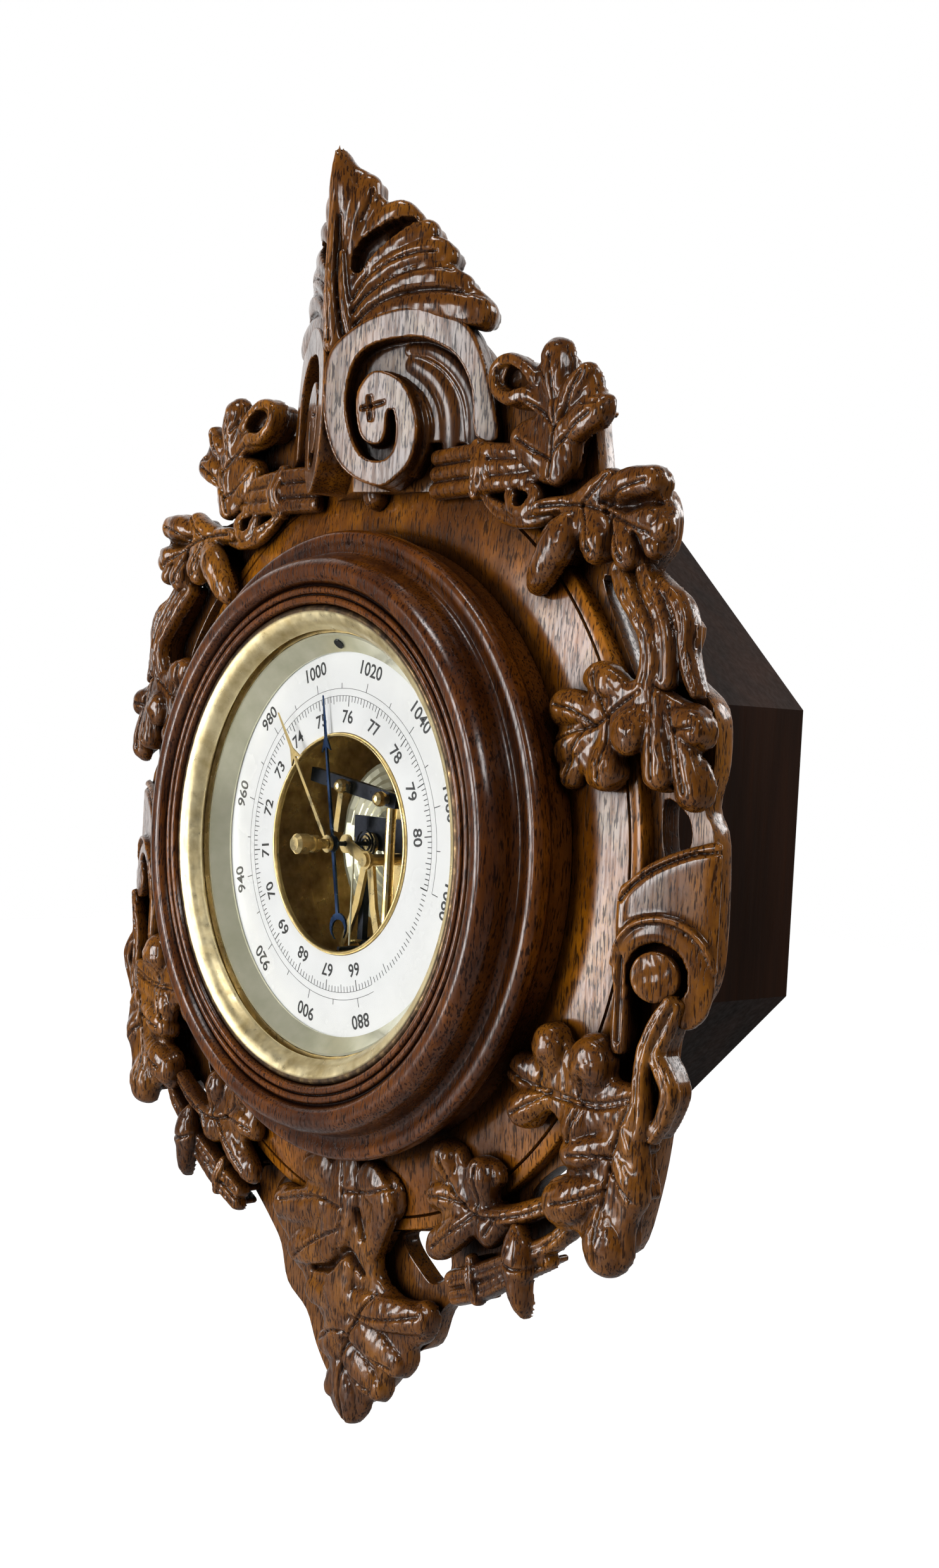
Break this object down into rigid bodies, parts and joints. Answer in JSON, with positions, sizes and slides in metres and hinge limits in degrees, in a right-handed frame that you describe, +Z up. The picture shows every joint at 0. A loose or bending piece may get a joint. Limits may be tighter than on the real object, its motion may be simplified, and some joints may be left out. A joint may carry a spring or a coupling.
{
  "type": "carved wall barometer",
  "caption": "Round aneroid wall barometer with an open-centre dial in a carved leaf and scroll oak surround on an octagonal case.",
  "frame": {"origin": "on the wall face at the back of the case, straight behind the middle of the dial", "axes": "+Z up, +X to the right as seen by the viewer, -Y out of the wall towards the viewer"},
  "size_m": [0.3604, 0.1364, 0.495],
  "materials": {
    "carved_oak": "shellac polished, stained",
    "dark_oak": "dark stained",
    "brass": "polished, worn lacquer",
    "silvered": "silvered",
    "dark_steel": "dark polished",
    "blued_steel": "blued",
    "enamel": "white enamel, printed",
    "glass": "clear"
  },
  "bodies": {
    "case": {"surround_board": "carved_oak", "turned_ring": "carved_oak", "crest_leaf": "carved_oak", "crest_block": "carved_oak", "pendant": "carved_oak", "left_crest_scroll": "carved_oak", "left_upper_reeds": "carved_oak", "left_upper_leaf": "carved_oak", "left_corner_leaf": "carved_oak", "left_twisted_stem": "carved_oak", "left_side_leaves": "carved_oak", "left_side_scroll": "carved_oak", "left_scroll_button": "carved_oak", "left_lower_stem": "carved_oak", "left_lower_leaves": "carved_oak", "left_bottom_leaf": "carved_oak", "left_lower_reeds": "carved_oak", "right_crest_scroll": "carved_oak", "right_upper_reeds": "carved_oak", "right_upper_leaf": "carved_oak", "right_corner_leaf": "carved_oak", "right_twisted_stem": "carved_oak", "right_side_leaves": "carved_oak", "right_side_scroll": "carved_oak", "right_scroll_button": "carved_oak", "right_lower_stem": "carved_oak", "right_lower_leaves": "carved_oak", "right_bottom_leaf": "carved_oak", "right_lower_reeds": "carved_oak", "octagon_case": "dark_oak", "back_panel": "dark_oak", "hanger_plate": "brass", "hanger_screw_1": "brass", "hanger_screw_2": "brass", "movement_case": "brass", "bezel": "brass", "dial_rim": "brass", "movement_plate": "brass", "bridge": "brass", "link_nut": "brass", "bar_nut": "brass", "frame_rod": "brass", "front_cock": "brass", "arbor_bracket": "brass", "reflector": "silvered", "capsule": "silvered", "reflector_screw": "dark_steel", "crossbar": "dark_steel", "hairspring": "dark_steel", "dial": "enamel", "glass": "glass"},
    "pointer": {"pointer_arbor": "dark_steel", "pointer_hand": "blued_steel"},
    "setting_hand": {"set_hand": "brass", "set_knob": "brass"},
    "chain_run": {"chain": "silvered"},
    "rocking_arm": {"rocking_shaft": "dark_steel"},
    "lever": {"main_lever": "dark_steel"},
    "stud": {"capsule_stud": "brass"},
    "adjuster": {"adjusting_screw": "dark_steel"}
  },
  "joints": [
    {"name": "pointer_turn", "type": "hinge", "parent": "case", "child": "pointer", "pos_m": [0, -0.116, 0], "axis": [0, 1, 0], "range_deg": [-246, 94]},
    {"name": "chain_pull", "type": "slide", "parent": "case", "child": "chain_run", "axis": [0, 0, 1], "range_m": [-0.0039, 0.0015]},
    {"name": "rocking_turn", "type": "hinge", "parent": "case", "child": "rocking_arm", "pos_m": [0, -0.092, -0.041], "axis": [-1, 0, 0], "range_deg": [-15.2, 5.9]},
    {"name": "lever_turn", "type": "hinge", "parent": "case", "child": "lever", "pos_m": [0.02, -0.0971, 0], "axis": [0, 0, -1], "range_deg": [-1.46, 0.56]},
    {"name": "stud_move", "type": "slide", "parent": "case", "child": "stud", "axis": [0, 1, 0], "range_m": [-0.00051, 0.000195]},
    {"name": "setting_turn", "type": "hinge", "parent": "case", "child": "setting_hand", "pos_m": [0, -0.1205, 0], "axis": [0, 1, 0], "continuous": true},
    {"name": "adjusting_turn", "type": "hinge", "parent": "case", "child": "adjuster", "pos_m": [0, -0.07, -0.044], "axis": [0, 1, 0], "continuous": true}
  ],
  "couplings": [
    {"joint": "chain_pull", "follows": "pointer_turn", "m_per_rad": 0.0009},
    {"joint": "rocking_turn", "follows": "pointer_turn", "ratio": 0.061224},
    {"joint": "lever_turn", "follows": "pointer_turn", "ratio": 0.005887},
    {"joint": "stud_move", "follows": "pointer_turn", "m_per_rad": 0.00011774}
  ]
}
